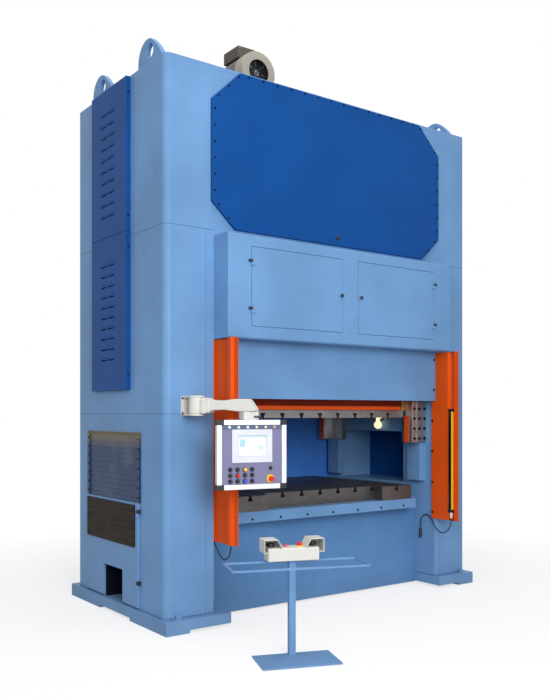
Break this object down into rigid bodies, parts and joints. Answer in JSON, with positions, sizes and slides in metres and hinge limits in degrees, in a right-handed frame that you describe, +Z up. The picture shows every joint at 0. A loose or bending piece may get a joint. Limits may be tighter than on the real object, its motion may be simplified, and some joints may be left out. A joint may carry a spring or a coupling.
{
  "type": "straight-side industrial press",
  "caption": "Straight-side metal-forming press with box columns, crown, sliding ram with T-slots, bolster, side guards, control panel on an arm and a two-hand control stand.",
  "frame": {"origin": "on the floor at the centre of the anchor bolt pattern, under the middle of the press", "axes": "+X to the right seen from the front, +Y to the rear, +Z up"},
  "size_m": [3.65, 3.2808, 5.102],
  "materials": {
    "light_blue_paint": "gloss enamel",
    "dark_blue_paint": "satin enamel",
    "orange_paint": "satin enamel",
    "steel": "machined",
    "cast_iron": "as cast",
    "motor_grey": "satin enamel",
    "light_grey_paint": "satin enamel",
    "frame_aluminium": "anodised",
    "face_grey": "satin",
    "screen_glass": "lit display",
    "guard_slats": "brushed",
    "brown_board": "worn",
    "black_plastic": "matte",
    "black_rubber": "matte",
    "yellow_plastic": "gloss",
    "red_plastic": "gloss",
    "blue_plastic": "gloss",
    "lamp_glass": "lit lens"
  },
  "bodies": {
    "frame": {"arm_bracket": "light_grey_paint", "bed": "light_blue_paint", "bolster": "steel", "bolster_rails": "light_blue_paint", "console": "light_grey_paint", "control_stand": "light_blue_paint", "cord_sockets": "black_plastic", "crown": "light_blue_paint", "crown_cabinet": "light_blue_paint", "crown_cover": "dark_blue_paint", "die_lamps": "lamp_glass", "door_hinges": "steel", "drive_belts": "black_rubber", "flywheel_guard": "light_blue_paint", "foot_plates": "light_blue_paint", "gear_pins": "steel", "gibs": "steel", "left_column": "light_blue_paint", "left_curtain_cord": "black_rubber", "left_eccentric_gear": "cast_iron", "left_guard": "orange_paint", "lifting_lugs": "light_blue_paint", "light_curtains": "yellow_plastic", "louvre_covers": "dark_blue_paint", "motor": "motor_grey", "motor_cowl": "motor_grey", "pinion_shaft": "steel", "rear_guard": "dark_blue_paint", "right_column": "light_blue_paint", "right_curtain_cord": "black_rubber", "right_eccentric_gear": "cast_iron", "right_guard": "orange_paint", "rod_caps": "steel", "slide_cover": "light_blue_paint", "terminal_box": "motor_grey", "window_guards": "guard_slats"},
    "slide": {"slide": "orange_paint", "slide_plate": "steel", "slide_liners": "steel", "connecting_rods": "steel"},
    "flywheel": {"flywheel": "cast_iron"},
    "motor_rotor": {"motor_rotor": "steel"},
    "left_crown_door": {"left_crown_door": "light_blue_paint"},
    "right_crown_door": {"right_crown_door": "light_blue_paint"},
    "side_door": {"left_side_door": "light_blue_paint", "scrap_board": "brown_board"},
    "arm": {"swing_arm": "light_grey_paint"},
    "panel": {"panel_case": "light_grey_paint", "panel_frame": "frame_aluminium", "panel_face": "face_grey", "screen_bezel": "face_grey", "screen": "screen_glass"},
    "start_button": {"start_button": "yellow_plastic"},
    "off_button": {"off_button": "red_plastic"},
    "reset_button": {"reset_button": "blue_plastic"},
    "panel_stop": {"panel_stop": "red_plastic"},
    "key_switch": {"key_switch": "steel"},
    "left_palm_button": {"left_palm_button": "black_plastic"},
    "right_palm_button": {"right_palm_button": "black_plastic"},
    "console_stop": {"console_stop": "red_plastic"}
  },
  "joints": [
    {"name": "slide_travel", "type": "slide", "parent": "frame", "child": "slide", "axis": [0, 0, 1], "range_m": [-0.2, 0]},
    {"name": "flywheel_spin", "type": "hinge", "parent": "frame", "child": "flywheel", "pos_m": [-0.176, 0.56, 3.4646], "axis": [0, 1, 0], "continuous": true},
    {"name": "motor_spin", "type": "hinge", "parent": "frame", "child": "motor_rotor", "pos_m": [-0.62, 0, 4.82], "axis": [0, 1, 0], "continuous": true},
    {"name": "left_crown_door_hinge", "type": "hinge", "parent": "frame", "child": "left_crown_door", "pos_m": [-1.0695, -1.08, 2.78], "axis": [0, 0, -1], "range_deg": [0, 110]},
    {"name": "right_crown_door_hinge", "type": "hinge", "parent": "frame", "child": "right_crown_door", "pos_m": [1.0695, -1.08, 2.78], "axis": [0, 0, 1], "range_deg": [0, 110]},
    {"name": "side_door_hinge", "type": "hinge", "parent": "frame", "child": "side_door", "pos_m": [-1.781, -0.427, 0.56], "axis": [0, 0, 1], "range_deg": [0, 110]},
    {"name": "arm_swing", "type": "hinge", "parent": "frame", "child": "arm", "pos_m": [-1.554, -1.01, 1.802], "axis": [0, 0, 1], "range_deg": [-75, 5]},
    {"name": "panel_turn", "type": "hinge", "parent": "arm", "child": "panel", "pos_m": [-1.31127, -1.39248, 1.7], "axis": [0, 0, 1], "range_deg": [-45, 45]},
    {"name": "start_button_press", "type": "slide", "parent": "panel", "child": "start_button", "axis": [0.2079, 0.9781, 0], "range_m": [0, 0.005], "stiffness_N_per_m": 900, "springref_m": -0.006},
    {"name": "off_button_press", "type": "slide", "parent": "panel", "child": "off_button", "axis": [0.2079, 0.9781, 0], "range_m": [0, 0.005], "stiffness_N_per_m": 900, "springref_m": -0.006},
    {"name": "reset_button_press", "type": "slide", "parent": "panel", "child": "reset_button", "axis": [0.2079, 0.9781, 0], "range_m": [0, 0.005], "stiffness_N_per_m": 900, "springref_m": -0.006},
    {"name": "panel_stop_press", "type": "slide", "parent": "panel", "child": "panel_stop", "axis": [0.2079, 0.9781, 0], "range_m": [0, 0.005], "stiffness_N_per_m": 900, "springref_m": -0.006},
    {"name": "key_turn", "type": "hinge", "parent": "panel", "child": "key_switch", "pos_m": [-1.17661, -1.48708, 1.3245], "axis": [-0.2079, -0.9781, 0], "range_deg": [0, 90]},
    {"name": "left_palm_button_press", "type": "slide", "parent": "frame", "child": "left_palm_button", "axis": [0, 0, -1], "range_m": [0, 0.006], "stiffness_N_per_m": 900, "springref_m": -0.006},
    {"name": "right_palm_button_press", "type": "slide", "parent": "frame", "child": "right_palm_button", "axis": [0, 0, -1], "range_m": [0, 0.006], "stiffness_N_per_m": 900, "springref_m": -0.006},
    {"name": "console_stop_press", "type": "slide", "parent": "frame", "child": "console_stop", "axis": [0, 0, -1], "range_m": [0, 0.005], "stiffness_N_per_m": 900, "springref_m": -0.006}
  ],
  "couplings": [
    {"joint": "motor_spin", "follows": "flywheel_spin", "ratio": 4.7273}
  ]
}
